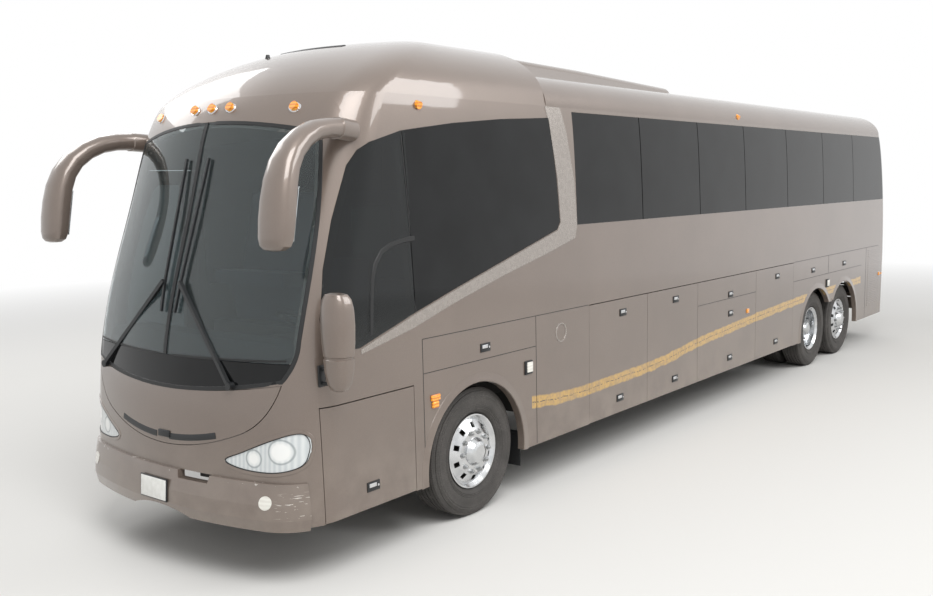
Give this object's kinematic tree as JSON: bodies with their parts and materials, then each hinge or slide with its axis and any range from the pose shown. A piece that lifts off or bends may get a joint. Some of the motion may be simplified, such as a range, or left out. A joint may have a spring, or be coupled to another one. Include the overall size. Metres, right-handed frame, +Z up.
{
  "type": "coach bus",
  "caption": "Touring coach in metallic taupe with a raked curved front, flush dark glass, roof air unit and three axles",
  "frame": {"origin": "on the ground in the middle of the bounding box", "axes": "+X towards the front, +Y to the left, +Z up"},
  "size_m": [13.6906, 3, 3.9498],
  "materials": {
    "metallic_taupe": "satin",
    "silver_paint": "satin",
    "dark_glass": "gloss",
    "lamp_lens": "gloss",
    "red_lens": "gloss",
    "amber_lens": "gloss",
    "polished_rim": "polished",
    "tyre_rubber": "matt",
    "cast_running_gear": "matt",
    "chassis_paint": "matt",
    "black_rubber": "matt",
    "mirror_shell": "satin",
    "cab_plastic": "matt",
    "seat_fabric": "matt",
    "floor_covering": "matt"
  },
  "bodies": {
    "coach_body": {"dashboard": "cab_plastic", "drive_axle": "cast_running_gear", "driver_seat": "seat_fabric", "engine": "cast_running_gear", "entrance_door": "metallic_taupe", "entrance_steps": "floor_covering", "fog_lamps": "lamp_lens", "front_axle": "cast_running_gear", "front_bumper": "metallic_taupe", "front_flap": "metallic_taupe", "front_mask": "metallic_taupe", "headlamps": "lamp_lens", "lower_mirror": "mirror_shell", "marker_lamps": "amber_lens", "passenger_seats": "seat_fabric", "rear_bumper": "metallic_taupe", "rear_lamps": "red_lens", "rear_wall": "metallic_taupe", "rear_window": "dark_glass", "roof_front": "metallic_taupe", "roof_pod": "metallic_taupe", "roof_rear": "metallic_taupe", "saloon_floor": "floor_covering", "side_glass_left": "dark_glass", "side_glass_right": "dark_glass", "side_wall_left": "metallic_taupe", "side_wall_right": "metallic_taupe", "silver_bands": "silver_paint", "steering_wheel": "cab_plastic", "tag_axle": "cast_running_gear", "underframe": "chassis_paint", "upper_mirrors": "mirror_shell", "windscreen": "dark_glass", "windscreen_bar": "black_rubber", "wipers": "black_rubber"},
    "steering_knuckle_left": {"knuckle_left": "cast_running_gear"},
    "front_wheel_left": {"wheel_front_left": "polished_rim", "tyre_front_left": "tyre_rubber"},
    "drive_wheels_left": {"wheel_drive_left": "polished_rim", "tyre_drive_left": "tyre_rubber"},
    "tag_wheel_left": {"wheel_tag_left": "polished_rim", "tyre_tag_left": "tyre_rubber"},
    "luggage_door_left_1": {"luggage_door_left_1": "metallic_taupe"},
    "luggage_door_left_2": {"luggage_door_left_2": "metallic_taupe"},
    "luggage_door_left_3": {"luggage_door_left_3": "metallic_taupe"},
    "luggage_door_left_4": {"luggage_door_left_4": "metallic_taupe"},
    "steering_knuckle_right": {"knuckle_right": "cast_running_gear"},
    "front_wheel_right": {"wheel_front_right": "polished_rim", "tyre_front_right": "tyre_rubber"},
    "drive_wheels_right": {"wheel_drive_right": "polished_rim", "tyre_drive_right": "tyre_rubber"},
    "tag_wheel_right": {"wheel_tag_right": "polished_rim", "tyre_tag_right": "tyre_rubber"},
    "luggage_door_right_1": {"luggage_door_right_1": "metallic_taupe"},
    "luggage_door_right_2": {"luggage_door_right_2": "metallic_taupe"},
    "luggage_door_right_3": {"luggage_door_right_3": "metallic_taupe"},
    "luggage_door_right_4": {"luggage_door_right_4": "metallic_taupe"},
    "locker_door": {"locker_door": "metallic_taupe"},
    "engine_lid": {"engine_lid": "metallic_taupe"}
  },
  "joints": [
    {"name": "steering_left", "type": "hinge", "parent": "coach_body", "child": "steering_knuckle_left", "pos_m": [4.615, 0.96, 0.54], "axis": [0, 0, 1], "range_deg": [-38, 38]},
    {"name": "front_wheel_spin_left", "type": "hinge", "parent": "steering_knuckle_left", "child": "front_wheel_left", "pos_m": [4.615, 1.072, 0.54], "axis": [0, 1, 0], "continuous": true},
    {"name": "drive_wheels_spin_left", "type": "hinge", "parent": "coach_body", "child": "drive_wheels_left", "pos_m": [-3.4, 0.897, 0.54], "axis": [0, 1, 0], "continuous": true},
    {"name": "tag_wheel_spin_left", "type": "hinge", "parent": "coach_body", "child": "tag_wheel_left", "pos_m": [-4.605, 1.072, 0.54], "axis": [0, 1, 0], "continuous": true},
    {"name": "luggage_door_left_1_hinge", "type": "hinge", "parent": "coach_body", "child": "luggage_door_left_1", "pos_m": [2.3635, 1.3, 1.58], "axis": [1, 0, 0], "range_deg": [0, 90]},
    {"name": "luggage_door_left_2_hinge", "type": "hinge", "parent": "coach_body", "child": "luggage_door_left_2", "pos_m": [1.1915, 1.3, 1.58], "axis": [1, 0, 0], "range_deg": [0, 90]},
    {"name": "luggage_door_left_3_hinge", "type": "hinge", "parent": "coach_body", "child": "luggage_door_left_3", "pos_m": [-0.246, 1.3, 1.58], "axis": [1, 0, 0], "range_deg": [0, 90]},
    {"name": "luggage_door_left_4_hinge", "type": "hinge", "parent": "coach_body", "child": "luggage_door_left_4", "pos_m": [-1.739, 1.3, 1.58], "axis": [1, 0, 0], "range_deg": [0, 90]},
    {"name": "steering_right", "type": "hinge", "parent": "coach_body", "child": "steering_knuckle_right", "pos_m": [4.615, -0.96, 0.54], "axis": [0, 0, 1], "range_deg": [-38, 38]},
    {"name": "front_wheel_spin_right", "type": "hinge", "parent": "steering_knuckle_right", "child": "front_wheel_right", "pos_m": [4.615, -1.072, 0.54], "axis": [0, 1, 0], "continuous": true},
    {"name": "drive_wheels_spin_right", "type": "hinge", "parent": "coach_body", "child": "drive_wheels_right", "pos_m": [-3.4, -0.897, 0.54], "axis": [0, 1, 0], "continuous": true},
    {"name": "tag_wheel_spin_right", "type": "hinge", "parent": "coach_body", "child": "tag_wheel_right", "pos_m": [-4.605, -1.072, 0.54], "axis": [0, 1, 0], "continuous": true},
    {"name": "luggage_door_right_1_hinge", "type": "hinge", "parent": "coach_body", "child": "luggage_door_right_1", "pos_m": [2.3635, -1.3, 1.58], "axis": [-1, 0, 0], "range_deg": [0, 90]},
    {"name": "luggage_door_right_2_hinge", "type": "hinge", "parent": "coach_body", "child": "luggage_door_right_2", "pos_m": [1.1915, -1.3, 1.58], "axis": [-1, 0, 0], "range_deg": [0, 90]},
    {"name": "luggage_door_right_3_hinge", "type": "hinge", "parent": "coach_body", "child": "luggage_door_right_3", "pos_m": [-0.246, -1.3, 1.58], "axis": [-1, 0, 0], "range_deg": [0, 90]},
    {"name": "luggage_door_right_4_hinge", "type": "hinge", "parent": "coach_body", "child": "luggage_door_right_4", "pos_m": [-1.739, -1.3, 1.58], "axis": [-1, 0, 0], "range_deg": [0, 90]},
    {"name": "locker_door_hinge", "type": "hinge", "parent": "coach_body", "child": "locker_door", "pos_m": [5.91, 1.3, 1.25], "axis": [1, 0, 0], "range_deg": [0, 90]},
    {"name": "engine_lid_hinge", "type": "hinge", "parent": "coach_body", "child": "engine_lid", "pos_m": [-6.87, 0, 1.566], "axis": [0, 1, 0], "range_deg": [0, 80]}
  ],
  "couplings": [
    {"joint": "steering_right", "follows": "steering_left", "ratio": 1}
  ]
}
